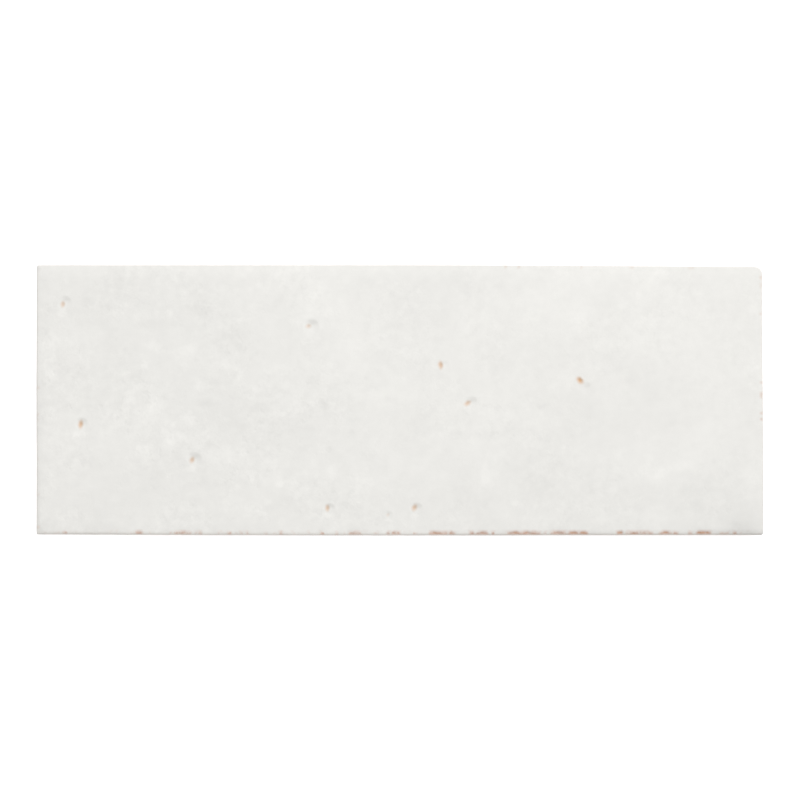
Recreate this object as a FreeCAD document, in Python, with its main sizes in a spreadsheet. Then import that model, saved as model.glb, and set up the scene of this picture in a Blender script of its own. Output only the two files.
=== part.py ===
import FreeCAD
import Part
import Sketcher
import math
import os

from FreeCAD import Placement, Rotation, Vector

# Glazed ceramic subway wall tile, one fired piece, lying on its keyed back.
# X runs along the tile, Y across it and Z up through its thickness. The
# origin is on the underside, at the middle of the back. Near is the -Y side,
# far the +Y side, left the -X side and right the +X side.

# Driving dimensions in millimetres.
SIZES = {
    # Overall body
    "tile_length": 200.0,
    "tile_width": 74.5,
    "tile_thickness": 8.5,
    # How far each hand-cut side runs out of square, end to end
    "near_slant": 0.14,
    "right_slant": 0.40,
    "far_slant": 0.45,
    "left_slant": 0.05,
    # Rounding of the glazed rim and of the four upright corners
    "arris_radius": 1.2,
    "near_left_radius": 0.5,
    "near_right_radius": 0.8,
    "far_right_radius": 2.1,
    "far_left_radius": 0.5,
    # Draft of the lower part of the sides, which lets the body leave its mould
    "draft_height": 3.6,
    "draft_inset": 0.3,
    # Uneven, hand-pressed face: depth of its hollows and lengths of its waves
    "wave_depth": 0.5,
    "long_wave": 118.0,
    "cross_wave": 64.0,
    "rising_wave": 47.0,
    "falling_wave": 33.0,
    # Pinholes in the glaze, for a pit of size 1
    "pit_length": 2.4,
    "pit_width": 1.5,
    "pit_depth": 0.35,
    # Waffle of shallow cells that keys the back into its adhesive
    "key_length": 8.6,
    "key_width": 9.0,
    "key_depth": 0.7,
    "rib_width": 2.0,
    "back_rim": 4.4,
}

# Drafted walls of the key cells, in degrees.
KEY_TAPER = 20.0

# Waves of the face: the size that gives the length, the heading and the
# phase in degrees, and the share of the full depth. The shares add up to 1.
WAVES = [
    ("long_wave", 14.0, 65.0, 0.40),
    ("cross_wave", 82.0, 30.0, 0.25),
    ("rising_wave", 38.0, 100.0, 0.20),
    ("falling_wave", -52.0, 15.0, 0.15),
]

# Samples of the face in the length of its shortest wave.
SAMPLES_PER_WAVE = 5

# Pits of the face: place as shares of the half length and half width, size
# beside the sheet's pit, and heading of the long axis in degrees.
PITS = [
    (-0.926, 0.721, 0.75, 35.0),
    (-0.878, -0.172, 0.85, 60.0),
    (-0.571, -0.434, 0.90, 40.0),
    (-0.250, 0.558, 1.00, 15.0),
    (0.112, 0.267, 0.90, 50.0),
    (0.187, -0.017, 1.10, 20.0),
    (0.494, 0.152, 0.95, -30.0),
    (-0.199, -0.788, 0.70, 45.0),
    (0.042, -0.785, 0.70, 10.0),
    (-0.033, -0.837, 0.50, 70.0),
]

# Spacing that stands for the pattern's own offset, in place of a length.
FOLLOW_OFFSET = -1.0

# Smallest distance that tells two places apart.
SAME = 1e-4


def make_sheet(doc):
    """Keep the driving dimensions in a spreadsheet, one alias to a row."""
    sheet = doc.addObject("Spreadsheet::Sheet", "Sizes")
    for row, (name, value) in enumerate(SIZES.items(), start=1):
        sheet.set("A%d" % row, name)
        sheet.set("B%d" % row, str(value))
        sheet.setAlias("B%d" % row, name)
    doc.recompute()
    return sheet


def new_sketch(body, name):
    """Add a sketch on the body's ground plane."""
    sketch = body.newObject("Sketcher::SketchObject", name)
    ground = next(item for item in body.Origin.OriginFeatures if item.Role == "XY_Plane")
    sketch.AttachmentSupport = [(ground, "")]
    sketch.MapMode = "FlatFace"
    return sketch


def bind(sketch, name, expression, *constraint):
    """Add a named constraint whose value follows an expression."""
    index = sketch.addConstraint(Sketcher.Constraint(*constraint))
    sketch.renameConstraint(index, name)
    sketch.setExpression("Constraints." + name, expression)


def draw_outline(sketch, sheet):
    """Draw the four straight sides, each a little out of square."""
    half_length = sheet.tile_length / 2
    half_width = sheet.tile_width / 2
    corners = {
        "near_left": (-half_length, -half_width + sheet.near_slant),
        "near_right": (half_length, -half_width),
        "far_right": (half_length - sheet.right_slant, half_width - sheet.far_slant),
        "far_left": (-half_length + sheet.left_slant, half_width),
    }
    formulas = {
        "near_left": ("-Sizes.tile_length / 2", "Sizes.near_slant - Sizes.tile_width / 2"),
        "near_right": ("Sizes.tile_length / 2", "-Sizes.tile_width / 2"),
        "far_right": (
            "Sizes.tile_length / 2 - Sizes.right_slant",
            "Sizes.tile_width / 2 - Sizes.far_slant",
        ),
        "far_left": ("Sizes.left_slant - Sizes.tile_length / 2", "Sizes.tile_width / 2"),
    }
    places = [Vector(x, y, 0) for x, y in corners.values()]
    for side in range(4):
        sketch.addGeometry(Part.LineSegment(places[side], places[(side + 1) % 4]), False)
    for side in range(4):
        sketch.addConstraint(Sketcher.Constraint("Coincident", side, 2, (side + 1) % 4, 1))
    for side, (name, (x, y)) in enumerate(corners.items()):
        across, along = formulas[name]
        bind(sketch, name + "_x", across, "DistanceX", -1, 1, side, 1, x)
        bind(sketch, name + "_y", along, "DistanceY", -1, 1, side, 1, y)


def draw_cell(sketch, sheet, left, near):
    """Draw one key cell, the first of the waffle."""
    x = -sheet.tile_length / 2
    y = -sheet.tile_width / 2
    right = x + sheet.key_length
    far = y + sheet.key_width
    corners = [Vector(x, y, 0), Vector(right, y, 0), Vector(right, far, 0), Vector(x, far, 0)]
    for side in range(4):
        sketch.addGeometry(Part.LineSegment(corners[side], corners[(side + 1) % 4]), False)
    for side in range(4):
        sketch.addConstraint(Sketcher.Constraint("Coincident", side, 2, (side + 1) % 4, 1))
    for side in (0, 2):
        sketch.addConstraint(Sketcher.Constraint("Horizontal", side))
        sketch.addConstraint(Sketcher.Constraint("Vertical", side + 1))
    bind(sketch, "cell_length", "Sizes.key_length", "DistanceX", 0, 1, 0, 2, sheet.key_length)
    bind(sketch, "cell_width", "Sizes.key_width", "DistanceY", 1, 1, 1, 2, sheet.key_width)
    bind(sketch, "cell_left", left, "DistanceX", -1, 1, 0, 1, x)
    bind(sketch, "cell_near", near, "DistanceY", -1, 1, 0, 1, y)


def count_of(overall, cell):
    """Give the expression for an even count of cells, so that ribs cross at the middle."""
    room = "(Sizes.%s - 2 * Sizes.back_rim + Sizes.rib_width)" % overall
    return "2 * floor(%s / (2 * (Sizes.%s + Sizes.rib_width)))" % (room, cell)


def make_slab(doc, sheet):
    """Make the plain slab, with stock above the face for the waves to take off."""
    body = doc.addObject("PartDesign::Body", "SlabBody")
    outline = new_sketch(body, "Outline")
    draw_outline(outline, sheet)
    doc.recompute()
    slab = body.newObject("PartDesign::Pad", "Slab")
    slab.Profile = outline
    slab.setExpression("Length", "Sizes.tile_thickness + Sizes.wave_depth")
    doc.recompute()
    return body


def key_back(doc, sheet, base):
    """Press the waffle of key cells into the back of the finished form."""
    body = doc.addObject("PartDesign::Body", "KeyedTile")
    body.BaseFeature = base
    first = new_sketch(body, "KeyCell")
    columns = count_of("tile_length", "key_length")
    rows = count_of("tile_width", "key_width")
    left = "Sizes.rib_width / 2 - %s / 2 * (Sizes.key_length + Sizes.rib_width)" % columns
    near = "Sizes.rib_width / 2 - %s / 2 * (Sizes.key_width + Sizes.rib_width)" % rows
    draw_cell(first, sheet, left, near)
    doc.recompute()

    cell = body.newObject("PartDesign::Pocket", "Cell")
    cell.Profile = first
    cell.Reversed = True
    cell.TaperAngle = -KEY_TAPER
    cell.setExpression("Length", "Sizes.key_depth")
    doc.recompute()

    waffle = body.newObject("PartDesign::LinearPattern", "Waffle")
    waffle.Originals = [cell]
    waffle.Direction = (first, ["H_Axis"])
    waffle.Mode = "Spacing"
    waffle.setExpression("Offset", "Sizes.key_length + Sizes.rib_width")
    waffle.setExpression("Occurrences", columns)
    waffle.Direction2 = (first, ["V_Axis"])
    waffle.Mode2 = "Spacing"
    waffle.Spacings2 = [FOLLOW_OFFSET]
    waffle.setExpression("Offset2", "Sizes.key_width + Sizes.rib_width")
    waffle.setExpression("Occurrences2", rows)
    body.Tip = waffle
    doc.recompute()
    return body


def face_height(sheet, x, y):
    """Height of the glazed face, which sinks below the full thickness in waves."""
    rise = 0.0
    for alias, heading, phase, share in WAVES:
        turn = math.radians(heading)
        travelled = x * math.cos(turn) + y * math.sin(turn)
        rise += share * math.sin(2 * math.pi * travelled / sheet.get(alias) + math.radians(phase))
    return sheet.tile_thickness - sheet.wave_depth * (1 - rise) / 2


def make_wavy_face(doc, sheet):
    """Make the cutter whose underside is the uneven face."""
    spacing = min(sheet.get(alias) for alias, *_ in WAVES) / SAMPLES_PER_WAVE
    columns = math.ceil(sheet.tile_length / 2 / spacing) + 1
    rows = math.ceil(sheet.tile_width / 2 / spacing) + 1
    grid = []
    for i in range(-columns, columns + 1):
        x = i * spacing
        ys = [j * spacing for j in range(-rows, rows + 1)]
        grid.append([Vector(x, y, face_height(sheet, x, y)) for y in ys])
    surface = Part.BSplineSurface()
    surface.interpolate(grid)
    cutter = doc.addObject("Part::Feature", "WavyFace")
    cutter.Shape = surface.toShape().extrude(Vector(0, 0, sheet.tile_thickness))
    cutter.Placement = Placement()
    return cutter


def is_upright(edge):
    """Tell whether an edge runs straight up."""
    start, end = edge.Vertexes[0].Point, edge.Vertexes[-1].Point
    return math.hypot(start.x - end.x, start.y - end.y) < SAME < abs(start.z - end.z)


def corner_radius(sheet, place):
    """Pick the radius of the upright corner at a place."""
    if place.y < 0:
        return sheet.near_left_radius if place.x < 0 else sheet.near_right_radius
    return sheet.far_left_radius if place.x < 0 else sheet.far_right_radius


def round_rim(doc, sheet, blank):
    """Round the four upright corners and the glazed rim together."""
    face_low = sheet.tile_thickness - 2 * sheet.wave_depth
    rounded = []
    for number, edge in enumerate(blank.Shape.Edges, start=1):
        if edge.BoundBox.ZMax < face_low:
            continue
        if is_upright(edge):
            radius = corner_radius(sheet, edge.Vertexes[0].Point)
        else:
            radius = sheet.arris_radius
        rounded.append((number, radius, radius))
    rim = doc.addObject("Part::Fillet", "RoundedRim")
    rim.Base = blank
    rim.Edges = rounded
    doc.recompute()
    return rim


def draft_sides(doc, sheet, rim):
    """Slope the lower part of the sides in towards the back."""
    back = max(
        (face for face in rim.Shape.Faces if face.BoundBox.ZMax < SAME),
        key=lambda face: face.BoundBox.DiagonalLength,
    )
    drafted = []
    for number, edge in enumerate(rim.Shape.Edges, start=1):
        if any(edge.isSame(other) for other in back.OuterWire.Edges):
            drafted.append((number, sheet.draft_height, sheet.draft_inset))
    draft = doc.addObject("Part::Chamfer", "DraftedSides")
    draft.Base = rim
    draft.Edges = drafted
    doc.recompute()
    return draft


def make_pits(doc, sheet):
    """Make a rounded cutter for each pinhole, centred on the face."""
    cutters = []
    for number, (along, across, size, heading) in enumerate(PITS, start=1):
        pit = doc.addObject("Part::Ellipsoid", "Pit%02d" % number)
        pit.setExpression("Radius1", "Sizes.pit_depth * %s" % size)
        pit.setExpression("Radius2", "Sizes.pit_length * %s / 2" % size)
        pit.setExpression("Radius3", "Sizes.pit_width * %s / 2" % size)
        x = along * sheet.tile_length / 2
        y = across * sheet.tile_width / 2
        turn = Rotation(Vector(0, 0, 1), heading)
        pit.Placement = Placement(Vector(x, y, face_height(sheet, x, y)), turn)
        cutters.append(pit)
    pits = doc.addObject("Part::MultiFuse", "Pits")
    pits.Shapes = cutters
    doc.recompute()
    return pits


def cut(doc, name, base, tool):
    """Cut one object out of another."""
    result = doc.addObject("Part::Cut", name)
    result.Base = base
    result.Tool = tool
    doc.recompute()
    return result


def make_tile(doc, sheet):
    """Build the tile: slab, uneven face, rim, drafted sides, pits and keyed back."""
    blank = cut(doc, "Blank", make_slab(doc, sheet), make_wavy_face(doc, sheet))
    rim = round_rim(doc, sheet, blank)
    sides = draft_sides(doc, sheet, rim)
    pitted = cut(doc, "PittedTile", sides, make_pits(doc, sheet))
    tile = key_back(doc, sheet, pitted)
    tile.Label = "tile"
    return tile


def check(doc, pieces):
    """Stop if an object failed or a piece isn't one valid solid."""
    for item in doc.Objects:
        if "Invalid" in item.State or "Error" in item.State:
            raise RuntimeError("%s failed: %s" % (item.Name, item.State))
    for piece in pieces:
        if piece.Shape.isNull() or not piece.Shape.isValid():
            raise RuntimeError("%s has no valid shape" % piece.Label)
        if len(piece.Shape.Solids) != 1:
            raise RuntimeError("%s is not one solid" % piece.Label)


def main():
    doc = FreeCAD.newDocument("SubwayTile")
    sheet = make_sheet(doc)
    pieces = [make_tile(doc, sheet)]
    check(doc, pieces)
    os.makedirs("parts", exist_ok=True)
    for piece in pieces:
        piece.Shape.exportStep("parts/%s.step" % piece.Label)
        box = piece.Shape.optimalBoundingBox()
        print(piece.Label, "volume %.1f" % piece.Shape.Volume, "faces", len(piece.Shape.Faces), box)


main()
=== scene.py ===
"""Makes a glazed ceramic wall tile in the long brick format, and the plain studio that shows it.

The tile is one closed mesh. Its face, rim, sides and back are first laid out smooth. A Geometry Nodes
tree then presses the face's waves, ripples and pinholes, the rim's chips and the back's key cells
into that mesh. Lengths are in metres. The tile lies on its back, with its long side along X.
"""
import math
from typing import NamedTuple

import bpy
from bpy.props import FloatProperty, FloatVectorProperty, IntProperty, PointerProperty
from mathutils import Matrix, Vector, noise
from mathutils.geometry import delaunay_2d_cdt


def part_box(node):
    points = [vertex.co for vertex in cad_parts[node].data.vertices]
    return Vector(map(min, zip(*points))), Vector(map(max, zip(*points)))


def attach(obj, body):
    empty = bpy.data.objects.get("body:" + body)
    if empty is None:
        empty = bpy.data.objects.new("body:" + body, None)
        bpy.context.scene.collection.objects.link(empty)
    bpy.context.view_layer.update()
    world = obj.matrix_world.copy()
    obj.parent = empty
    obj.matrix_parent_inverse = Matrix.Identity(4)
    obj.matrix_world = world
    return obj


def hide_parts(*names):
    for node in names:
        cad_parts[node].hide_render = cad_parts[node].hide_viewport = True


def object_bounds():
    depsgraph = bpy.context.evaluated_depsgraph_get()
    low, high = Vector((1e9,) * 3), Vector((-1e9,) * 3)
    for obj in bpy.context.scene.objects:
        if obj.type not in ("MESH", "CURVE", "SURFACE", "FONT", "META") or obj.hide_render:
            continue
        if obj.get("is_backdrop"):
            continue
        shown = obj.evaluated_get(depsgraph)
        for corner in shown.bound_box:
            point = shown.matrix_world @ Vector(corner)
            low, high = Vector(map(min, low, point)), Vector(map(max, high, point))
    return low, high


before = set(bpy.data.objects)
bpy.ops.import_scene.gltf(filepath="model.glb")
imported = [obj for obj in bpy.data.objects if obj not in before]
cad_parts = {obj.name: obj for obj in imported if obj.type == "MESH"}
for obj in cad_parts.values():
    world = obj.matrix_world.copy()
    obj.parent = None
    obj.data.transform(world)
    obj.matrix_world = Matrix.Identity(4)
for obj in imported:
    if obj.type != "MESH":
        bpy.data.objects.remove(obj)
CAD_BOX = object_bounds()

bl_info = {
    "name": "Glazed wall tile",
    "version": (1, 0, 0),
    "blender": (4, 5, 0),
    "location": "3D View > Sidebar > Wall tile",
    "description": "Makes a hand-pressed glazed wall tile and the studio round it",
    "category": "Add Mesh",
}

MM = 0.001
PERCENT = 0.01
NODE = "tile"
LOW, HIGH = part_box(NODE)

# How far each side lies inside the tile's box, in mm, at even steps, left to right or near to far
NEAR_BOW = (0.28, 0.07, 0, 0.04, 0.08)
FAR_BOW = (0, 0, 0, 0.17, 0.48)
LEFT_BOW = (0.09, 0.15, 0.06, 0.14, 0.20)
RIGHT_BOW = (0.03, 0.02, 0.12, 0.35, 0.30)

# Share of the face's roll, and of the arris, along each side: left, right, near and far
ROLL_SHARES = (0.2, 0.35, 0.1, 1)
ARRIS_SHARES = (0.55, 0.5, 1, 0.5)

# Each wave of the face: the property that holds its length, its heading, its phase and its share
WAVES = (
    ("long_wave", 14, 65, 0.40),
    ("cross_wave", 82, 30, 0.25),
    ("rising_wave", 38, 100, 0.20),
    ("falling_wave", -52, 15, 0.15),
)

# Rings near the end of the glaze on the sides: mm above the line, and share of the glaze's thickness
GLAZE_END = ((0.45, 1), (0.20, 1.12), (0.08, 1.08), (0.02, 0.7), (-0.03, 0))

# Insets of the rings on the face inside the arris, and of the loops round a key cell's edge, in mm
ROLL_RINGS = (1.25, 1.8, 2.5)
KEY_LOOPS = (0.12, 0.0, -0.15, -0.30)

# Finer points round a pinhole: their spacing, and the reaches between which they lie, in mm
PINHOLE_RINGS = ((0.15, 0, 1.6), (0.32, 1.6, 3.0))

# Places of the other rings down a side, as shares of the glaze, of the bare side and of its foot
GLAZE_SHARES = (0, 0.35, 0.7)
BARE_SHARES = (0.12, 0.4, 0.7)
DRAFT_SHARES = (1, 0.7, 0.4)

# Steps in a quarter turn of the arris, the foot's edge, a key cell's corner and, at least, a tile's
ARRIS_STEPS = 8
FOOT_STEPS = 4
KEY_STEPS = 4
CORNER_STEPS = 4

# How far a point on a corner can move in, as a share of the radius, and how much more per metre beside
CORNER_ROOM = 0.85
ROOM_GROWTH = 0.3

# Share of its inset that a point of a ring has to keep from the whole outline
KEPT_SHARE = 0.97

# The triangulation's mode that fills the inside of a loop, and how near points count as one
FILL_INSIDE = 1
WELD_REACH = 1e-5

# Slow and quick wandering of the glaze's lower line: length in mm and share
SLOW_SWAY = (16, 0.8)
QUICK_SWAY = (3.5, 0.3)

# Heights between which the waves fade in, as shares of the tile's height
WAVES_BEGIN = 0.45
WAVES_FULL = 0.85

# The noise at which an unworn rim chips, what wear takes off it, and how far a chip makes the rim sink,
# stains the glaze and bares the biscuit
CHIP_START = 0.80
CHIP_WEAR = 0.37
CHIP_SINK = 0.6
CHIP_STAIN = 0.72
CHIP_BARE = 0.6

# The value of the sides' noise at which they stay where they are
RAGGED_LEVEL = 0.85

# Each noise of the glaze and the biscuit: its length in mm, its seed, its detail and its roughness
GRAINS = {
    "busy": (15, 1, 2, 0.5), "broad": (45, 2, 4, 0.9), "crumb": (2.6, 3, 4, 0.8),
    "ragged": (2.4, 4, 4, 0.65), "islet": (4.2, 5, 4, 0.6), "smudge": (2.6, 6, 2, 0.5),
    "streak": (2.6, 7, 2.5, 0.6), "gloss": (5, 7, 2, 0.5), "peel": (1.6, 8, 1, 0.5),
    "sand": (0.5, 11, 3, 0.65), "dust": (11, 12, 6, 0.75), "border": (0.4, 20, 2, 0.6),
}

# By how many percent each kind of mottle changes the glaze's tone. The pale kind also lights the painted
# highlights under the pinholes.
MOTTLE = {
    "broad": 26, "crumb": 23, "islet": 2.4, "streak": 1.8, "smudge": 2.6, "pale": 5.0, "dim": 4.6,
}

# The floor: half its side and its gap under the tile, in metres, its colour and its glow
FLOOR_HALF = 2.0
FLOOR_GAP = 0.05 * MM
FLOOR_PAINT = (0.8, 0.8, 0.8, 1)
FLOOR_GLOW = 0.7

# The camera's clipping distances are its height divided by this and times this
CLIP_FACTOR = 20


class Pinhole(NamedTuple):
    """A pinhole in the glaze, in mm and degrees, with the shallow hollow beside it."""
    x: float
    y: float
    length: float
    width: float
    heading: float
    hollow_x: float
    hollow_y: float
    hollow_radius: float
    hollow_depth: float
    bare: float


# Stretches of each side where the glaze is worn: their middle and reach in mm, and the wear
WORN = {
    "near": (
        (-92, 0.7, 0.5), (-71.5, 1, 0.45), (-59.7, 2.5, 0.6), (-54.8, 0.6, 0.5), (-46.7, 0.6, 0.5),
        (-41.6, 0.6, 0.5), (-32.7, 0.6, 0.5), (-21.5, 0.8, 0.6), (-17.4, 0.6, 0.5), (-12.2, 2, 0.6),
        (-3.2, 0.6, 0.6), (-1.2, 1.2, 0.9), (10.6, 2.4, 0.8), (14.4, 0.8, 0.5), (19.7, 0.7, 0.6),
        (22.7, 1.8, 0.8), (25.6, 0.4, 0.6), (34, 5.2, 0.8), (43.8, 1.9, 0.85), (47.6, 1.4, 0.95),
        (50.6, 1.2, 0.95), (60.4, 1, 0.75), (65.5, 3.6, 0.6), (72.7, 1.6, 0.8), (76, 0.9, 0.6),
        (79.8, 0.7, 0.9), (83.6, 2.3, 0.8), (89.3, 2, 0.4), (92, 0.6, 0.9),
    ),
    "far": (
        (29.1, 0.5, 0.7), (32.7, 0.5, 0.7), (50, 0.5, 0.5), (63.7, 0.8, 0.5), (80, 1, 0.5),
    ),
    "left": (
        (3.5, 0.5, 0.4), (-4, 0.5, 0.4), (-5.4, 0.5, 0.4), (-16.2, 0.5, 0.3), (-25.8, 0.5, 0.3),
        (-34.9, 0.6, 0.5),
    ),
    "right": (
        (33.7, 0.6, 0.8), (31.5, 0.8, 0.6), (23.8, 0.4, 0.7), (4.9, 0.4, 0.6), (1.4, 1, 1),
        (-3.5, 0.5, 0.95), (-5.2, 0.5, 0.95),
    ),
}

# How worn each side is where it has no mark
LEAST_WEAR = {"near": 0.28, "far": 0.03, "left": 0.06, "right": 0.03}

# Broad patches of lighter or darker glaze: their middle and reaches in mm, and their percent of tone.
# Those along the near and left rims and in the near right corner are painted shade, and those over the
# near part of the face darken it towards the near side. Those along the far rim are painted light, and
# the rest make the glaze lighter or darker in broad patches.
PAINTED_LIGHT_AND_TONE = (
    (-63, 14, 38, 22, -1.7), (-51, 25, 10, 6, -0.6), (-86, 27, 10, 8, -0.5), (-80, -20, 25, 15, -0.5),
    (30, -30, 60, 8, -1.2), (78, -29, 24, 6, -3.2), (93.5, -35, 6.5, 3.4, -7.5),
    (98, -37.3, 7, 0.9, -8), (-22, 8, 30, 26, 1.5), (66, 27, 30, 12, 0.6), (0, 27, 40, 15, 0.5),
    (20, 8, 75, 30, 0.9), (-70, 35.6, 35, 2.2, 2.4), (5, 35.8, 25, 2, 2.6), (45, 34.8, 22, 2.2, 2),
    (82, 34.5, 14, 2.2, 1.6), (0, -31, 100, 7, -0.7), (70, -35.6, 40, 2.2, -4),
    (93, -36.1, 9, 0.7, -11), (60, -36.4, 45, 0.5, -9), (-96.5, -34.8, 4, 2.5, -3.5),
    (-60, -35.6, 40, 1.5, -2), (-99.5, -17, 1.6, 18, -3), (-99.6, 36.4, 0.5, 0.9, -12),
)

# Clouds in the glaze, in the same form: paler above 0 and darker below, as a share. The pale ones just
# under six pinholes are painted highlights on the near walls of their hollows.
CLOUDS_AND_PIT_HIGHLIGHTS = (
    (-58.5, 13.5, 3.4, 2.8, 1), (-67.5, 15, 2.4, 1.7, 1), (-70.5, 9.5, 1.5, 2.6, 1),
    (-74.5, 0.8, 2.2, 2.4, 1), (-78.5, 3, 1.6, 1.6, 0.9), (-71, 4, 1.5, 1.2, 0.9),
    (-52, 9.5, 2.6, 1.5, 0.9), (-47, 9, 2.4, 1.3, 1), (-55, 4, 1.6, 2.8, 0.9), (-39, 3, 2.2, 1.6, 0.9),
    (-36, 8, 2.2, 1.8, 0.8), (-44, 6.5, 1.6, 2.4, 0.8), (-68, -2.5, 2.6, 2, 0.9),
    (-58, -4.5, 1.5, 2, 0.9), (-62, -10.5, 3, 2, 1), (-52, -9.5, 3, 1.8, 0.9), (-69.5, -15, 2, 3, 0.9),
    (-63.5, 24, 1.4, 2.4, 0.9), (-95, 17, 3, 3, 0.8), (-96, 8, 2.5, 4, 0.8), (-93, 2.5, 2, 1.6, 0.8),
    (-48, -15, 9, 3, 0.8), (-19, -20, 1.6, 3, 0.9), (-33, -22.5, 2, 1.8, 0.9), (-36, -28, 2.2, 1.5, 0.8),
    (-10, -22.5, 3.4, 1.8, 0.8), (-47, -29.5, 3, 1.6, 0.8), (33, 28, 2, 1, 0.8),
    (48.5, 21.5, 3, 1.2, 0.8), (66, 29, 2.2, 1.2, 0.8), (62, -2.5, 2.4, 1, 0.8), (71, -20.5, 4.5, 2, 0.8),
    (78, -17.5, 4, 2, 0.8), (59, -24.5, 2.4, 1.4, 0.8), (36, -11.5, 4, 2.4, 0.8),
    (34.5, -6, 1.5, 2.6, 0.8), (23.5, -20, 1.4, 2.6, 0.9), (31.5, -28.5, 2.2, 1, 0.8),
    (23, -33.5, 1.6, 1, 0.8), (97, 26, 1.6, 3, 0.9), (40, 7, 2, 1.6, 0.7), (85.5, -25.5, 2, 1.4, 0.7),
    (-55, 25, 4, 2.4, -1), (-67, 21, 6.5, 1.8, -1), (-86, 27.5, 3.6, 3, -0.9), (-50, 15.5, 4, 3.4, -0.8),
    (-51, 5, 3, 2, -0.8), (-53, -1, 4, 1.4, -1), (-38, -2.5, 4.6, 2.2, -0.9), (-34.5, 3, 2.6, 2.8, -0.8),
    (-20.5, -0.7, 2.5, 1.8, -1), (-24.5, -7.5, 3, 1.4, -1), (-13.5, 6.5, 1.4, 1.8, -0.8),
    (-3, -0.3, 2, 1.5, -0.8), (-13, -7, 1.8, 3, -0.8), (-88, 8, 3, 1.8, -0.8), (-50, -23, 9, 1.8, -0.7),
    (35, 1, 3.6, 1.6, -0.9), (40.5, -1.8, 2.6, 1.6, -0.9), (59.5, 8, 2.4, 1.4, -0.9),
    (63.5, 6.5, 2.6, 2.6, -0.8), (67, 12, 2.2, 1, -0.8), (55.5, 8, 1.3, 0.9, -0.9),
    (27.5, 31.5, 1.8, 1.2, -0.9), (75, -6.5, 2.4, 1, -0.8), (86.5, -16.5, 1.2, 1.2, -0.9),
    (62, -30, 9, 1.5, -0.8), (93, -34, 2.4, 1.3, -1), (11, 17, 3, 1.2, -0.8),
    # Painted highlights under the pinholes, where the hollows' near walls would catch the light
    (-88.2, -9.2, 2, 0.9, 1.2), (-19.5, -31.8, 2.4, 0.8, 1.2), (3.9, -31.8, 2.2, 0.9, 1.2),
    (-3.2, -33.1, 1.4, 0.7, 1.1), (-92.8, 23.8, 1.8, 0.8, 1.1), (-57.8, -18.9, 1.6, 0.8, 1.1),
    (-60, -7, 11, 3.5, 0.5), (-33, -14, 12, 4, 0.35), (22, -22, 14, 4, 0.35), (60, -17, 16, 4, 0.35),
    (-88, 14, 9, 5, 0.35), (-44, 18, 6, 8, -0.5), (-60, -27, 16, 4, -0.35), (43, 14, 12, 4, -0.4),
    (-6, -12, 10, 5, -0.4), (80, 3, 12, 4, -0.4), (8, 24, 12, 5, 0.3), (90, 14, 7, 8, 0.35),
)

# Calm stretches of the glaze, in the same form, where its mottle is faint
CALMS = (
    (-34, 18, 8, 15, 0.8), (-11, 11, 10, 9, 0.7), (39, 11, 9, 9, 0.7), (64, -6, 16, 6, 0.6),
    (-70, 19, 18, 4, 0.7), (-77, -24, 18, 5, 0.7), (-42, -26.5, 11, 2.5, 0.7), (72, -16.5, 13, 2.5, 0.6),
    (15, 20, 9, 9, 0.5),
)

PINHOLES = (
    Pinhole(-92.6, 26.4, 1.4, 1, 80, 0.5, 0.7, 1.7, 0.15, 0.50),
    Pinhole(-87.7, -6.6, 1.9, 1.1, 82, 0.2, 0.4, 1.5, 0.12, 0.74),
    Pinhole(-57.1, -16.4, 1.5, 1.1, 70, 0.6, 0.5, 1.7, 0.16, 0.58),
    Pinhole(-25.1, 20.4, 1.3, 1, 10, 0.7, 0.2, 1.9, 0.22, 0.38),
    Pinhole(11.2, 9.7, 1.8, 1.1, 96, 0.9, 0.2, 1.3, 0.09, 0.68),
    Pinhole(18.6, -0.8, 1.7, 1.1, 30, 1.1, 0.1, 1.9, 0.20, 0.56),
    Pinhole(49.5, 5.5, 1.8, 1.3, -45, 1.6, -2.3, 2, 0.20, 0.88),
    Pinhole(-19.9, -29.6, 1.5, 1, 90, 0.5, 0, 1.4, 0.11, 0.58),
    Pinhole(4, -29.5, 1.6, 1.2, 60, 0.5, 0, 1.5, 0.14, 0.60),
    Pinhole(-3.3, -31.5, 0.9, 0.8, 60, 0.2, 0.2, 1, 0.06, 0.18),
)


def distance(name, description, millimetres):
    """A property for a length, with its default given in mm."""
    return FloatProperty(
        name=name, description=description, default=millimetres * MM, min=0,
        precision=5, unit="LENGTH", subtype="DISTANCE",
    )


def tint(name, description, red, green, blue):
    """A property for a colour, in linear light."""
    return FloatVectorProperty(
        name=name, description=description, default=(red, green, blue), min=0, max=1, size=3,
        subtype="COLOR",
    )


class TileForm(bpy.types.PropertyGroup):
    """The tile's smooth form, before anything is pressed into it."""
    headroom: distance("Headroom", "Room left under the tile's full height for its relief", 0.03)
    margin: distance("Margin", "Room left inside the tile's full length and width", 0.005)
    outline_step: distance("Outline step", "Distance between the points round the outline", 0.36)
    face_step: distance("Face step", "Distance between the points on the face", 0.9)
    near_left_radius: distance("Near left corner", "Radius of that corner", 0.5)
    near_right_radius: distance("Near right corner", "Radius of that corner", 0.8)
    far_right_radius: distance("Far right corner", "Radius of that corner", 2.1)
    far_left_radius: distance("Far left corner", "Radius of that corner", 0.5)
    arris_width: distance("Arris width", "How far the rounded edge reaches over the face", 0.65)
    arris_drop: distance("Arris drop", "How far the rounded edge reaches down the side", 0.75)
    roll_width: distance("Roll width", "How far in from the side the face begins to fall", 5.0)
    roll_drop: distance("Roll drop", "How far the face falls before the arris", 0.22)
    glaze_reach: distance("Glaze reach", "How far down the sides the glaze runs", 2.7)
    glaze_sway: distance("Glaze sway", "How far the glaze's lower line wanders up and down", 0.7)
    glaze_thickness: distance("Glaze thickness", "How far the glaze stands out of the biscuit", 0.12)
    draft_height: distance("Draft height", "Height of the tapered foot of the sides", 3.6)
    draft_inset: distance("Draft inset", "How far the foot of the sides stands back", 0.3)
    foot_radius: distance("Foot radius", "Radius of the edge round the back", 0.35)


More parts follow.
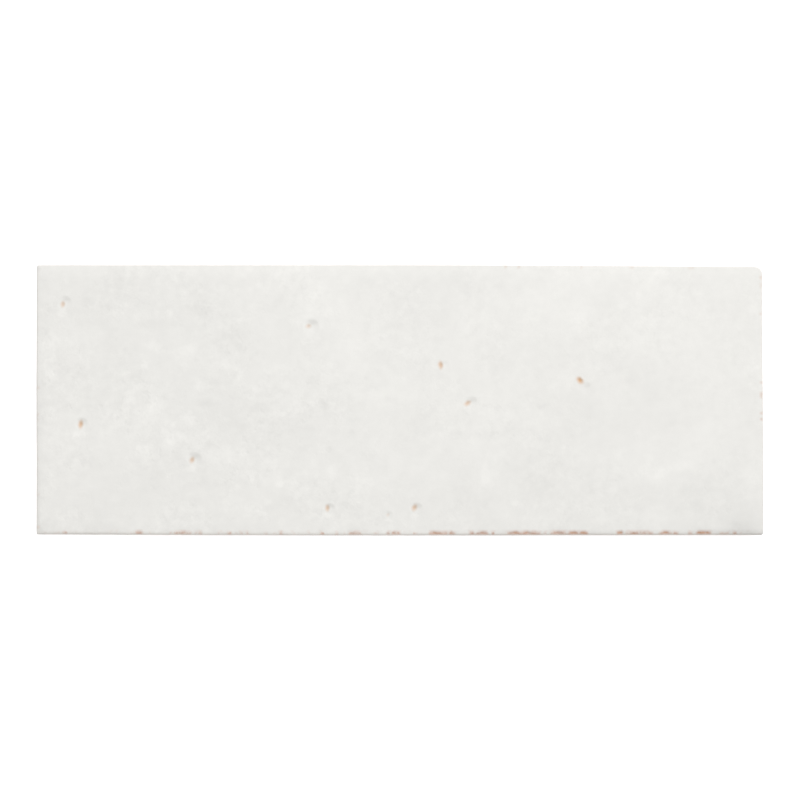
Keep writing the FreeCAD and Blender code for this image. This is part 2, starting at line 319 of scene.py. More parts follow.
class TileRelief(bpy.types.PropertyGroup):
    """What is pressed into the smooth form. Each of these is also an input of the relief tree."""
    wave_depth: distance("Wave depth", "Depth of the broad waves of the face", 0.5)
    long_wave: distance("Long wave", "Length of the wave along the tile", 118)
    cross_wave: distance("Cross wave", "Length of the wave across the tile", 64)
    rising_wave: distance("Rising wave", "Length of the wave that rises to the right", 47)
    falling_wave: distance("Falling wave", "Length of the wave that falls to the right", 33)
    ripple_depth: distance("Ripple depth", "Depth of the small uneven ripples", 0.05)
    ripple_length: distance("Ripple length", "Length of the small uneven ripples", 9)
    ragged_depth: distance("Ragged depth", "How far the sides wander in and out", 0.12)
    ragged_length: distance("Ragged length", "Length of the sides' wandering", 3.2)
    chip_depth: distance("Chip depth", "Depth of the chips along the arris", 0.2)
    chip_length: distance("Chip length", "Length of the chips along the arris", 1.5)
    pinhole_depth: distance("Pinhole depth", "Depth of the pinholes", 0.18)
    key_length: distance("Key length", "Length of a key cell in the back", 8.6)
    key_width: distance("Key width", "Width of a key cell in the back", 9.0)
    key_radius: distance("Key radius", "Corner radius of a key cell", 0.8)
    rib_width: distance("Rib width", "Width of the ribs between the key cells", 2.0)
    key_depth: distance("Key depth", "Depth of the key cells", 0.7)
    key_columns: IntProperty(name="Key columns", description="Key cells along the tile", default=18)
    key_rows: IntProperty(name="Key rows", description="Key cells across the tile", default=6)
    seed: IntProperty(name="Seed", description="Picks another pattern of ripples and chips", default=4)


class TileFinish(bpy.types.PropertyGroup):
    """The colours of the glaze and of the biscuit under it."""
    glaze: tint("Glaze", "The warm white glaze", 0.84, 0.83, 0.795)
    thin_glaze: tint("Thin glaze", "The glaze where it is thin over the arris", 0.78, 0.72, 0.66)
    amber: tint("Amber", "The glaze where the iron of the biscuit stains it", 0.65, 0.33, 0.115)
    rust: tint("Rust", "The glaze where a chip of the rim stains it", 0.56, 0.275, 0.165)
    biscuit: tint("Biscuit", "The fired body where it shows", 0.57, 0.31, 0.185)
    scorch: tint("Scorch", "The darker grains and rims of the biscuit", 0.34, 0.15, 0.075)
    dust: tint("Dust", "The pale dust on the back", 0.74, 0.60, 0.48)


class TileStage(bpy.types.PropertyGroup):
    """The camera, the lights and the floor."""
    camera_height: distance("Camera height", "Height of the camera over the tile's rim", 1000)
    view_width: distance("View width", "Width of the camera's view at the tile's rim", 219.93)
    camera_x: distance("Camera shift along", "How far right of the tile's middle it stands", 0.041)
    camera_y: distance("Camera shift across", "How far behind the tile's middle it stands", 0.095)
    lamp_reach: distance("Lamp reach", "Distance of the soft lamp from the tile", 1200)
    lamp_size: distance("Lamp size", "Length of each side of the soft lamp", 2100)
    lamp_power: FloatProperty(
        name="Lamp power", description="Power in watts", default=15.56, unit="POWER",
    )
    lamp_rise: FloatProperty(
        name="Lamp rise", description="Angle over the floor", default=math.radians(58), subtype="ANGLE",
    )
    lamp_turn: FloatProperty(
        name="Lamp turn", description="Angle from straight behind the tile towards its right side",
        default=math.radians(32), subtype="ANGLE",
    )
    sky: FloatProperty(name="Sky", description="Strength of the even light all round", default=0.561)


def pairing(operation, swapped=False):
    """A method of Wire that adds a Math node for the wire and another wire or number."""
    def method(self, other):
        return self.math(operation, *((other, self) if swapped else (self, other)))
    return method


class Wire:
    """An output of a node in a tree. Sums and products of wires add Math nodes to that tree."""

    def __init__(self, tree, output=None):
        self.tree = tree
        self.output = output

    def node(self, kind, settings=None, sockets=None, output=0):
        """Adds a node with its settings and its sockets' values or links, and returns its wire."""
        made = self.tree.nodes.new(kind)
        made.location = (len(self.tree.nodes) // 10 * 200, -len(self.tree.nodes) % 10 * 180)
        for name, value in (settings or {}).items():
            setattr(made, name, value)
        for place, value in (sockets or {}).items():
            socket = self.pick(made.inputs, place)
            if isinstance(value, Wire):
                self.tree.links.new(value.output, socket)
            else:
                socket.default_value = value
        return Wire(self.tree, self.pick(made.outputs, output) if made.outputs else None)

    @staticmethod
    def pick(sockets, place):
        """The socket in use at a place in the order, or with a name."""
        used = [socket for socket in sockets if socket.enabled]
        if isinstance(place, int):
            return used[place]
        return next(socket for socket in used if socket.name == place)

    def math(self, operation, *values):
        return self.node("ShaderNodeMath", {"operation": operation}, dict(enumerate(values)))

    def vector_math(self, operation, *values):
        return self.node("ShaderNodeVectorMath", {"operation": operation}, dict(enumerate(values)))

    def __abs__(self):
        return self.math("ABSOLUTE", self)

    __add__ = __radd__ = pairing("ADD")
    __sub__ = pairing("SUBTRACT")
    __rsub__ = pairing("SUBTRACT", swapped=True)
    __mul__ = __rmul__ = pairing("MULTIPLY")
    __truediv__ = pairing("DIVIDE")
    __rtruediv__ = pairing("DIVIDE", swapped=True)
    most = pairing("MAXIMUM")
    least = pairing("MINIMUM")

    def rise(self, low, high):
        """0 up to low and 1 from high, with a smooth step between."""
        sockets = {"Value": self, "From Min": low, "From Max": high}
        return self.node("ShaderNodeMapRange", {"interpolation_type": "SMOOTHSTEP"}, sockets)

    def fall(self, low, high):
        """1 up to low and 0 from high, with a smooth step between."""
        return 1 - self.rise(low, high)

    def scaled(self, factor):
        """This vector or colour times a number."""
        sockets = {"Vector": self, "Scale": factor}
        return self.node("ShaderNodeVectorMath", {"operation": "SCALE"}, sockets)

    def parts(self):
        """The three numbers of this vector."""
        split = self.node("ShaderNodeSeparateXYZ", {}, {"Vector": self}).output.node
        return [Wire(self.tree, output) for output in split.outputs]

    def vector(self, x, y, z):
        return self.node("ShaderNodeCombineXYZ", {}, {"X": x, "Y": y, "Z": z})

    def noise(self, length, seed, detail=2.0, roughness=0.5):
        """Smooth noise from 0 to 1 at this place, with features of the given length."""
        sockets = {
            "Vector": self, "W": seed, "Scale": 1 / length, "Detail": detail, "Roughness": roughness,
        }
        return self.node("ShaderNodeTexNoise", {"noise_dimensions": "4D"}, sockets)

    def grain(self, name):
        """One of the listed noises of the glaze and the biscuit, at this place."""
        length, seed, detail, roughness = GRAINS[name]
        return self.noise(length * MM, seed, detail, roughness)

    def blend(self, factor, first, second):
        """The first colour, turning to the second as the factor goes to 1."""
        sockets = {"Factor": factor, "A": first, "B": second}
        return self.node("ShaderNodeMix", {"data_type": "RGBA"}, sockets)

    def mixed(self, factor, other):
        """This colour, turning to the other as the factor goes to 1."""
        return self.blend(factor, self, other)

    def named(self, name, kind="FLOAT"):
        """What the mesh holds for each point under a name, in a geometry tree."""
        return self.node("GeometryNodeInputNamedAttribute", {"data_type": kind}, {"Name": name})

    def painted(self, name):
        """What the mesh holds for each point under a name, in a material."""
        return self.node("ShaderNodeAttribute", {"attribute_name": name}, output="Fac")


def bow(values, share):
    """How far a side lies inside the box at a share of its length, on a smooth curve."""
    last = len(values) - 1
    place = min(max(share, 0), 1) * last
    start = min(int(place), last - 1)
    t = place - start
    a, b, c, d = (values[min(max(start + k, 0), last)] for k in (-1, 0, 1, 2))
    square = a - 2.5 * b + 2 * c - d / 2
    cube = 1.5 * (b - c) + (d - a) / 2
    return (b + t * (c - a) / 2 + t * t * square + t ** 3 * cube) * MM


class Outline:
    """The four sides of the tile, as seen from above."""

    def __init__(self, form):
        self.low = LOW.xy + Vector((form.margin, form.margin))
        self.high = HIGH.xy - Vector((form.margin, form.margin))
        self.size = self.high - self.low
        self.radii = {
            (False, False): form.near_left_radius,
            (True, False): form.near_right_radius,
            (True, True): form.far_right_radius,
            (False, True): form.far_left_radius,
        }

    def left(self, y):
        return self.low.x + bow(LEFT_BOW, (y - self.low.y) / self.size.y)

    def right(self, y):
        return self.high.x - bow(RIGHT_BOW, (y - self.low.y) / self.size.y)

    def near(self, x):
        return self.low.y + bow(NEAR_BOW, (x - self.low.x) / self.size.x)

    def far(self, x):
        return self.high.y - bow(FAR_BOW, (x - self.low.x) / self.size.x)

    def loop(self, step):
        """Points round the outline, anticlockwise from the near left corner.

        Each has its way outwards, and its room: how far it can move inwards before it meets the others.
        """
        arcs = []
        rooms = []
        for (is_right, is_far), radius in self.radii.items():
            start = (180 + 90 * len(arcs)) % 360
            rooms.append(CORNER_ROOM * radius)
            x = self.high.x if is_right else self.low.x
            y = self.high.y if is_far else self.low.y
            side_x = self.right(y) - radius if is_right else self.left(y) + radius
            side_y = self.far(x) - radius if is_far else self.near(x) + radius
            count = max(CORNER_STEPS, round(radius * math.pi / 2 / step))
            turns = [math.radians(start + 90 * k / count) for k in range(count + 1)]
            arcs.append([
                Vector((side_x + radius * math.cos(turn), side_y + radius * math.sin(turn)))
                for turn in turns
            ])
        points = []
        room = []
        for k, arc in enumerate(arcs):
            points += arc
            room += [rooms[k]] * len(arc)
            start, end = arc[-1], arcs[(k + 1) % 4][0]
            length = (end - start).length
            count = round(length / step)
            for j in range(1, count):
                points.append(self.settle(start.lerp(end, j / count), k))
                done = length * j / count
                ahead = length - done
                room.append(min(rooms[k] + ROOM_GROWTH * done, rooms[(k + 1) % 4] + ROOM_GROWTH * ahead))
        ways = []
        for k, point in enumerate(points):
            along = points[(k + 1) % len(points)] - points[k - 1]
            ways.append(Vector((along.y, -along.x)).normalized())
        return points, ways, room

    def settle(self, point, side):
        """Puts a point on its side: 0 near, 1 right, 2 far, 3 left."""
        if side in (0, 2):
            return Vector((point.x, self.near(point.x) if side == 0 else self.far(point.x)))
        return Vector((self.right(point.y) if side == 1 else self.left(point.y), point.y))

    def reaches(self, x, y):
        """Distances from the left, right, near and far side."""
        return x - self.left(y), self.right(y) - x, y - self.near(x), self.far(x) - y

    def gaps(self, x, y):
        """Distances from the nearer end and from the nearer long side."""
        left, right, near, far = self.reaches(x, y)
        return min(left, right), min(near, far)

    def gap(self, x, y):
        """Distance from the outline, with its round corners."""
        a, b = self.gaps(x, y)
        radius = self.radii[x > 0, y > 0]
        if a < radius and b < radius:
            return radius - math.hypot(radius - a, radius - b)
        return min(a, b)

    def inset(self, x, y):
        """Like gap, but with no crease where the two distances are alike."""
        a, b = self.gaps(x, y)
        gap = self.gap(x, y)
        if gap <= 0:
            return gap
        spread = (a + b) / 2
        likeness = max(spread - abs(a - b), 0) / spread
        return gap * (1 - likeness ** 2 * spread / (4 * min(a, b)))


def arris_at(way):
    """Share of the arris on the side that faces a way, with an even change round the corners."""
    left, right, near, far = ARRIS_SHARES
    along = left if way.x < 0 else right
    across = near if way.y < 0 else far
    return along * way.x ** 2 + across * way.y ** 2


def wear_at(x, y, way):
    """How worn the rim is at a point, from 0 to 1, from the marks on the side that faces that way."""
    if abs(way.y) > abs(way.x):
        side, place = ("near" if way.y < 0 else "far"), x
    else:
        side, place = ("left" if way.x < 0 else "right"), y
    wear = LEAST_WEAR[side]
    for middle, reach, most in WORN[side]:
        wear += most * math.exp(-((place / MM - middle) / reach) ** 4)
    return min(1, wear)


def tone_at(patches, x, y):
    """The sum of what patches do at a point. Each fades out over its reaches."""
    total = 0
    for middle_x, middle_y, reach_x, reach_y, strength in patches:
        across = (x / MM - middle_x) / reach_x
        up = (y / MM - middle_y) / reach_y
        total += strength * math.exp(-across ** 2 - up ** 2)
    return total


def lattice(low, high, step):
    """Points of an even triangular lattice over a rectangle."""
    rise = step * math.sqrt(3) / 2
    for j in range(math.floor((high.y - low.y) / rise) + 1):
        y = low.y + j * rise
        for k in range(math.floor((high.x - low.x) / step) + 1):
            yield low.x + (k + j % 2 / 2) * step, y


def fills_bay(corners, count):
    """Whether a triangle lies outside a loop of points, in a bay: its corners run against the loop."""
    a, b, c = corners
    return max(corners) < count and (a > b) + (b > c) + (c > a) == 2


def triangles_in(loop, inner, edges=()):
    """Triangles that fill a closed loop, as triples of places in loop + inner."""
    flat = [Vector((x / MM, y / MM)) for x, y in loop + inner]
    ring = list(range(len(loop)))
    found = delaunay_2d_cdt(flat, list(edges), [ring], FILL_INSIDE, WELD_REACH, True)
    source = [ids[0] for ids in found[3]]
    triangles = [tuple(source[k] for k in face) for face in found[2]]
    return [corners for corners in triangles if not fills_bay(corners, len(loop))]


def store(mesh, name, values):
    """Stores a number or a vector for each point of a mesh under a name."""
    if isinstance(values[0], tuple):
        flat = [number for value in values for number in value]
        mesh.attributes.new(name, "FLOAT_VECTOR", "POINT").data.foreach_set("vector", flat)
    else:
        mesh.attributes.new(name, "FLOAT", "POINT").data.foreach_set("value", values)


def linked(name, data):
    """A new object in the scene with its data."""
    made = bpy.data.objects.new(name, data)
    bpy.context.scene.collection.objects.link(made)
    return made


class TileMesh:
    """Collects the points and faces of the smooth tile."""

    def __init__(self, form, relief):
        self.form = form
        self.relief = relief
        self.outline = Outline(form)
        self.top = HIGH.z - form.headroom
        self.places = []
        self.faces = []
        names = ("inset", "outward", "wear", "tone", "cloud", "calm", "bare", "back")
        self.traits = {name: [] for name in names}
        self.loop, self.ways, self.room = self.outline.loop(form.outline_step)

    def add(self, x, y, z, inset, way=Vector((0, 0)), wear=0, bare=0, back=0):
        """Adds a point with its traits and returns its number."""
        self.places.append((x, y, z))
        # The patches' tone carries painted shade and painted light along the rims, and the clouds carry
        # painted highlights under the pinholes
        tone, cloud, calm = (tone_at(patches, x, y) for patches in (PAINTED_LIGHT_AND_TONE, CLOUDS_AND_PIT_HIGHLIGHTS, CALMS))
        row = (inset, (way.x, way.y, 0), wear, tone, cloud, calm, bare, back)
        for values, value in zip(self.traits.values(), row):
            values.append(value)
        return len(self.places) - 1

    def height(self, x, y, inset, way):
        """Height of the face before its relief, at an inset from the side that faces a way."""
        form = self.form
        roll = 0
        for reach, share in zip(self.outline.reaches(x, y), ROLL_SHARES):
            roll += share * form.roll_drop * max(1 - max(reach, 0) / form.roll_width, 0) ** 3
        if not way.length:
            return self.top - roll
        arris = arris_at(way)
        share = max(1 - inset / (form.arris_width * arris), 0)
        return self.top - roll - form.arris_drop * arris * (1 - math.sqrt(max(1 - share ** 2, 0)))

    def face_points(self):
        """(x, y, way outwards) of the points inside the face's outline, finer at the rim and pinholes."""
        form = self.form
        turns = [math.pi / 2 * k / ARRIS_STEPS for k in range(1, ARRIS_STEPS + 1)]
        rims = list(zip(self.loop, self.ways))
        rings = [(form.arris_width * (1 - math.cos(turn)), 1, rims) for turn in turns]
        rings += [(inset * MM, 0, rims[::2]) for inset in ROLL_RINGS]
        for width, in_arris, ring in rings:
            for point, way in ring:
                inset = width * arris_at(way) if in_arris else width
                x, y = point - way * inset
                if self.outline.gap(x, y) > KEPT_SHARE * inset:
                    yield x, y, way
        field = ROLL_RINGS[-1] * MM + form.face_step / 2
        fine = [(step * MM, inner * MM, outer * MM) for step, inner, outer in PINHOLE_RINGS]
        still = Vector((0, 0))
        for x, y in lattice(self.outline.low, self.outline.high, form.face_step):
            near_hole = min(math.hypot(x - hole.x * MM, y - hole.y * MM) for hole in PINHOLES)
            if self.outline.gap(x, y) > field and near_hole > fine[-1][-1] + form.face_step / 3:
                yield x, y, still
        for number, hole in enumerate(PINHOLES):
            centre = Vector((hole.x, hole.y)) * MM
            for step, inner, outer in fine:
                reach = Vector((outer, outer))
                for x, y in lattice(centre - reach, centre + reach, step):
                    away = [math.hypot(x - each.x * MM, y - each.y * MM) for each in PINHOLES]
                    if inner < away[number] <= outer and away[number] == min(away):
                        yield x, y, still

    def make_face(self, rim_ring):
        """Fills the rim ring with the face."""
        points = list(self.face_points())
        inner = []
        for x, y, way in points:
            inset = self.outline.inset(x, y)
            wear = wear_at(x, y, way) if way.length else 0
            inner.append(self.add(x, y, self.height(x, y, inset, way), inset, way, wear))
        numbers = rim_ring + inner
        loop = [tuple(point) for point in self.loop]
        for corners in triangles_in(loop, [(x, y) for x, y, way in points]):
            self.faces.append([numbers[corner] for corner in corners])

    def glaze_line(self, point):
        """Height at which the glaze ends on the side, at a point of the outline."""
        form = self.form
        apart = Vector((7, 3, 1))
        slow = noise.noise(point.to_3d() / (SLOW_SWAY[0] * MM))
        quick = noise.noise(point.to_3d() / (QUICK_SWAY[0] * MM) + apart)
        sway = SLOW_SWAY[1] * slow + QUICK_SWAY[1] * quick
        return self.top - form.glaze_reach + form.glaze_sway * sway

    def side_levels(self, rim, line):
        """(height, inset, share of glaze) of the rings down a side, whose glaze ends at a line."""
        form = self.form
        upper = line + GLAZE_END[0][0] * MM
        lower = line + GLAZE_END[-1][0] * MM
        for share in GLAZE_SHARES:
            yield rim + (upper - rim) * share, 0, 1
        for above, share in GLAZE_END:
            yield line + above * MM, 0, share
        for share in BARE_SHARES:
            yield lower + (form.draft_height - lower) * share, 0, 0
        for share in DRAFT_SHARES:
            yield form.draft_height * share, form.draft_inset * (1 - share), 0
        for k in range(FOOT_STEPS + 1):
            turn = math.pi / 2 * k / FOOT_STEPS
            height = form.foot_radius * (1 - math.sin(turn))
            yield height, form.draft_inset + form.foot_radius * (1 - math.cos(turn)), 0

    def make_sides(self):
        """Makes the rings of the sides and returns the rim's ring and the back's."""
        form = self.form
        columns = []
        for point, way, room in zip(self.loop, self.ways, self.room):
            column = []
            wear = wear_at(point.x, point.y, way)
            rim = self.height(point.x, point.y, 0, way)
            for height, inset, share in self.side_levels(rim, self.glaze_line(point)):
                x, y = point - way * min(inset + form.glaze_thickness * (1 - share), room)
                bare = 1 if share < 0.5 else 0
                column.append(self.add(x, y, height, height - rim, way, wear, bare))
            columns.append(column)
        for k, column in enumerate(columns):
            after = columns[(k + 1) % len(columns)]
            for j in range(len(column) - 1):
                self.faces.append([column[j], column[j + 1], after[j + 1], after[j]])
        return [column[0] for column in columns], [column[-1] for column in columns]

    def key_loop(self, x, y, swell):
        """Points round a key cell's edge, moved outwards by the swell."""
        relief = self.relief
        radius = relief.key_radius + swell
        half_x = relief.key_length / 2 + swell - radius
        half_y = relief.key_width / 2 + swell - radius
        for quarter, (right, far) in enumerate(((1, 1), (-1, 1), (-1, -1), (1, -1))):
            corner_x = x + right * half_x
            corner_y = y + far * half_y
            for k in range(KEY_STEPS + 1):
                turn = math.pi / 2 * (quarter + k / KEY_STEPS)
                yield corner_x + radius * math.cos(turn), corner_y + radius * math.sin(turn)
            way_x, way_y = ((0, 1), (-1, 0), (0, -1), (1, 0))[quarter]
            yield x + way_x * (half_x + radius), y + way_y * (half_y + radius)

    def make_back(self, back_ring):
        """Fills the back's ring, with loops of points where the key cells come."""
        relief = self.relief
        pitch_x = relief.key_length + relief.rib_width
        pitch_y = relief.key_width + relief.rib_width
        points = []
        edges = []
        for column in range(relief.key_columns):
            for row in range(relief.key_rows):
                x = (column - (relief.key_columns - 1) / 2) * pitch_x
                y = (row - (relief.key_rows - 1) / 2) * pitch_y
                for swell in KEY_LOOPS:
                    first = len(back_ring) + len(points)
                    points += self.key_loop(x, y, swell * MM)
                    last = len(back_ring) + len(points) - 1
                    edges += [(k, k + 1) for k in range(first, last)] + [(last, first)]
        inner = [self.add(x, y, 0, -self.top, bare=1, back=1) for x, y in points]
        numbers = back_ring + inner
        loop = [self.places[number][:2] for number in back_ring]
        for corners in triangles_in(loop, points, edges):
            self.faces.append([numbers[corner] for corner in reversed(corners)])

    def object(self, name):
        """The finished smooth tile."""
        rim_ring, back_ring = self.make_sides()
        self.make_face(rim_ring)
        self.make_back(back_ring)
        mesh = bpy.data.meshes.new(name)
        mesh.from_pydata(self.places, [], self.faces)
        for trait, values in self.traits.items():
            store(mesh, trait, values)
        return linked(name, mesh)


def pinhole_points():
    """An object with one point for each pinhole, which holds its shape."""
    mesh = bpy.data.meshes.new("pinholes")
    mesh.from_pydata([(hole.x * MM, hole.y * MM, HIGH.z) for hole in PINHOLES], [], [])
    for name, read in (
        ("hole", lambda hole: (hole.length * MM, hole.width * MM, math.radians(hole.heading))),
        ("hollow", lambda hole: (hole.hollow_x * MM, hole.hollow_y * MM, hole.hollow_radius * MM)),
        ("strength", lambda hole: (hole.hollow_depth * MM, hole.bare, 0)),
    ):
        store(mesh, name, [read(hole) for hole in PINHOLES])
    return linked("pinholes", mesh)


def wave_lift(wires, given, x, y):
    """How far the broad waves press the face down."""
    total = 0
    for length, heading, phase, share in WAVES:
        turn = math.radians(heading)
        along = x * math.cos(turn) + y * math.sin(turn)
        name = TileRelief.bl_rna.properties[length].name
        total = total + share * wires.math("SINE", along / given[name] * math.tau + math.radians(phase))
    return -0.5 * given["Wave depth"] * (1 - total)


def pinhole_hollows(wires, given, place):
    """(how far the nearest pinhole and its hollow press the face down, how far the glaze is stained).

    A hollow is steep on its far side and shallow on its near side.
    """
    settings = {"transform_space": "ORIGINAL"}
    points = wires.node("GeometryNodeObjectInfo", settings, {"Object": given["Pinholes"]}, "Geometry")
    nearest = wires.node("GeometryNodeSampleNearest", {}, {"Geometry": points, "Sample Position": place})

    def read(value):
        sockets = {"Geometry": points, "Value": value, "Index": nearest}
        return wires.node("GeometryNodeSampleIndex", {"data_type": "FLOAT_VECTOR"}, sockets)

    def trait(name):
        return read(wires.named(name, "FLOAT_VECTOR")).parts()

    middle = read(wires.node("GeometryNodeInputPosition"))
    x, y, _ = wires.vector_math("SUBTRACT", place, middle).parts()
    length, width, heading = trait("hole")
    hollow_x, hollow_y, hollow_radius = trait("hollow")
    hollow_depth, bare, _ = trait("strength")
    cosine = wires.math("COSINE", heading)
    sine = wires.math("SINE", heading)
    along = (x * cosine + y * sine) / length
    across = (y * cosine - x * sine) / width
    grain = 0.6 * MM
    jaggedness = 0.5
    steep = 1.25
    shallow = 0.75
    brim = 0.10
    jitter = jaggedness * (place.noise(grain, given["Seed"]) - 0.5)
    away = 2 * wires.math("SQRT", along * along + across * across) + jitter
    core = away.fall(0.1, 1.3)
    off_x = x - hollow_x
    off_y = y - hollow_y
    off_y = steep * off_y.most(0) + shallow * off_y.least(0)
    off = wires.math("SQRT", off_x * off_x + off_y * off_y) / hollow_radius
    hollow = off.fall(0, 1.3) - brim * off.rise(0.9, 1.3) * off.fall(1.3, 2.0)
    depth = core * bare * given["Pinhole depth"] + hollow * hollow_depth
    return depth, away.fall(0, 1.9) * bare


def chip_bites(given, place, inset, outward, wear):
    """(how far the rim is chipped, how far its glaze is stained), each from 0 to 1.

    The chips reach further in on the near side, where the arris is wide.
    """
    nearness = (outward.parts()[1] * -1).most(0)
    inner = (inset / (0.5 + 0.5 * nearness)).fall(0.8 * MM, 1.6 * MM)
    band = inset.rise(0.15 * MM, 0.55 * MM) * inner
    grain = place.noise(given["Chip length"], given["Seed"] + 3, detail=3.0, roughness=0.6)
    over = grain - CHIP_START + CHIP_WEAR * wear
    return over.rise(0, 0.16) * band, over.rise(-0.18, 0.12) * band * CHIP_STAIN


def key_cells(wires, given, x, y):
    """How far the back is pressed in at a place, by cells in columns and rows."""
    pitches = [given["Key length"] + given["Rib width"], given["Key width"] + given["Rib width"]]
    counts = [given["Key columns"], given["Key rows"]]
    halves = [given["Key length"] / 2, given["Key width"] / 2]
    reaches = []
    inside = 1
    for place, pitch, count, half in zip((x, y), pitches, counts, halves):
        cells = place / pitch + count / 2
        middle = abs(wires.math("FRACT", cells) - 0.5) * pitch
        reaches.append(middle - half + given["Key radius"])
        inside = wires.math("COMPARE", cells, count / 2, count / 2) * inside
    corner_x, corner_y = (reach.most(0) for reach in reaches)
    outside = wires.math("SQRT", corner_x * corner_x + corner_y * corner_y)
    edge = outside + reaches[0].most(reaches[1]).least(0) - given["Key radius"]
    return edge.fall(KEY_LOOPS[-1] * MM, KEY_LOOPS[0] * MM) * inside * given["Key depth"]


def relief_tree(relief, material):
    """The Geometry Nodes tree that presses the relief into the smooth tile, and its inputs' values."""
    tree = bpy.data.node_groups.new("Tile relief", "GeometryNodeTree")
    tree.is_modifier = True
    for way in ("INPUT", "OUTPUT"):
        tree.interface.new_socket("Geometry", in_out=way, socket_type="NodeSocketGeometry")
    values = {}
    for name in TileRelief.__annotations__:
        prop = relief.bl_rna.properties[name]
        kind = "NodeSocketInt" if prop.type == "INT" else "NodeSocketFloat"
        socket = tree.interface.new_socket(prop.name, in_out="INPUT", socket_type=kind)
        socket.description = prop.description
        values[socket.identifier] = getattr(relief, name)
    socket = tree.interface.new_socket("Pinholes", in_out="INPUT", socket_type="NodeSocketObject")
    values[socket.identifier] = pinhole_points()
    wires = Wire(tree)
    inputs = tree.nodes.new("NodeGroupInput")
    given = {output.name: Wire(tree, output) for output in inputs.outputs if output.name}
    place = wires.node("GeometryNodeInputPosition")
    x, y, z = place.parts()
    inset = wires.named("inset")
    outward = wires.named("outward", "FLOAT_VECTOR")
    high = z.rise(HIGH.z * WAVES_BEGIN, HIGH.z * WAVES_FULL)
    on_face = inset.rise(0, 3 * MM)
    ripple = (place.noise(given["Ripple length"], given["Seed"] + 1, detail=1.5) - 0.5) * on_face
    hole, hole_stain = pinhole_hollows(wires, given, place)
    chip, chip_stain = chip_bites(given, place, inset, outward, wires.named("wear"))
    lift = wave_lift(wires, given, x, y) * high + ripple * given["Ripple depth"] - hole * on_face
    lift = lift - chip * given["Chip depth"] * CHIP_SINK
    lift = lift + wires.named("back") * key_cells(wires, given, x, y)
    wander = place.noise(given["Ragged length"], given["Seed"] + 2, detail=2.5, roughness=0.6)
    push = (wander - RAGGED_LEVEL) * given["Ragged depth"]
    push = push * inset.fall(0.2 * MM, 1.6 * MM) * z.rise(0, 1.2 * MM)
    push = push - chip * given["Chip depth"]
    offset = wires.vector_math("ADD", outward.scaled(push), wires.vector(0, 0, lift))
    sockets = {"Geometry": given["Geometry"], "Offset": offset}
    geometry = wires.node("GeometryNodeSetPosition", {}, sockets)
    for name, value in (
        ("bare", wires.named("bare").most(chip * CHIP_BARE)),
        ("stain", chip_stain.most(hole_stain * on_face)),
    ):
        sockets = {"Geometry": geometry, "Name": name, "Value": value}
        geometry = wires.node("GeometryNodeStoreNamedAttribute", {}, sockets)
    smooth = wires.node("GeometryNodeSetShadeSmooth", {}, {"Geometry": geometry})
    real = wires.node("GeometryNodeRealizeInstances", {}, {"Geometry": smooth})
    dressed = wires.node("GeometryNodeSetMaterial", {}, {"Geometry": real, "Material": material})
    wires.node("NodeGroupOutput", {}, {"Geometry": dressed})
    return tree, values


def blank_tree(holder):
    """The emptied node tree of a new material or world."""
    holder.use_nodes = True
    holder.node_tree.nodes.clear()
    return Wire(holder.node_tree)


def glaze_finish(wires, place, finish):
    """(colour, roughness, height) of the glaze: mottled, stained at its flaws and thin at the arris, with
    painted light and shade.
    """
    names = ("tone", "inset", "wear", "stain", "cloud", "calm")
    tone, inset, wear, stain, cloud, calm = (wires.painted(name) for name in names)
    x, _, _ = place.parts()
    leftwards = 0.7 + 0.3 * x.fall(-35 * MM, 45 * MM)
    busy = (0.45 + 0.6 * place.grain("busy").rise(0.42, 0.56)) * (1 - 0.9 * calm)
    broad = place.grain("broad") - 0.5
    crumb = place.grain("crumb")
    ragged = 2.4 * (place.grain("ragged") - 0.5)
    ragged = ragged * (1 - 0.8 * calm)
    # The pale mottle also carries the painted highlights under the pinholes
    pale = (cloud + ragged).rise(0.2, 1.1)
    dim = (ragged - cloud).rise(0.2, 1.25)
    islet = place.grain("islet").rise(0.56, 0.63)
    smudge = place.grain("smudge").fall(0.31, 0.43) * busy
    sockets = {"Vector": place, "Rotation": (0, 0, math.radians(38)), "Scale": (0.4, 1, 1)}
    turned = wires.node("ShaderNodeMapping", {}, sockets)
    streak = turned.grain("streak").rise(0.5, 0.64)
    mottle = MOTTLE["crumb"] * (crumb - 0.5) * busy + MOTTLE["islet"] * islet * busy
    mottle = mottle + MOTTLE["streak"] * streak * (1 - busy) - MOTTLE["smudge"] * smudge
    mottle = mottle + MOTTLE["pale"] * pale - MOTTLE["dim"] * dim
    # The tone from the listed patches is partly painted shade along the near and left rims and painted
    # light along the far rim
    change = tone + MOTTLE["broad"] * broad + leftwards * mottle
    at_arris = inset.rise(-0.3 * MM, 0.4 * MM) * inset.fall(0.25 * MM, 1.3 * MM)
    thin = at_arris * (0.05 + 0.95 * wear)
    colour = wires.blend(thin, (*finish.glaze, 1), (*finish.thin_glaze, 1))
    at_rim = inset.fall(1.5 * MM, 3 * MM)
    tinge = wires.blend(at_rim, (*finish.amber, 1), (*finish.rust, 1))
    colour = colour.mixed(stain, tinge).scaled(1 + change * PERCENT)
    roughness = 0.17 + 0.10 * place.grain("gloss") + 0.4 * stain
    height = leftwards * (0.012 * pale + 0.01 * islet - 0.02 * smudge) + 0.008 * place.grain("peel")
    return colour, roughness, height


def biscuit_finish(wires, place, finish):
    """(colour, roughness, height) of the fired body: sandy, with dark grains and pale dust."""
    spacing = 1.3 * MM
    grain = place.grain("sand")
    dusty = place.grain("dust").rise(0.45, 0.75) * 0.5
    cells = wires.node("ShaderNodeTexVoronoi", {}, {"Vector": place, "Scale": 1 / spacing})
    pores = cells.fall(0.08, 0.2)
    dark = grain.rise(0.45, 0.75) * 0.4 + pores * 0.4
    colour = wires.blend(dark, (*finish.biscuit, 1), (*finish.scorch, 1)).mixed(dusty, (*finish.dust, 1))
    roughness = 0.82 + 0.1 * grain
    return colour, roughness, (grain - pores) * 0.06


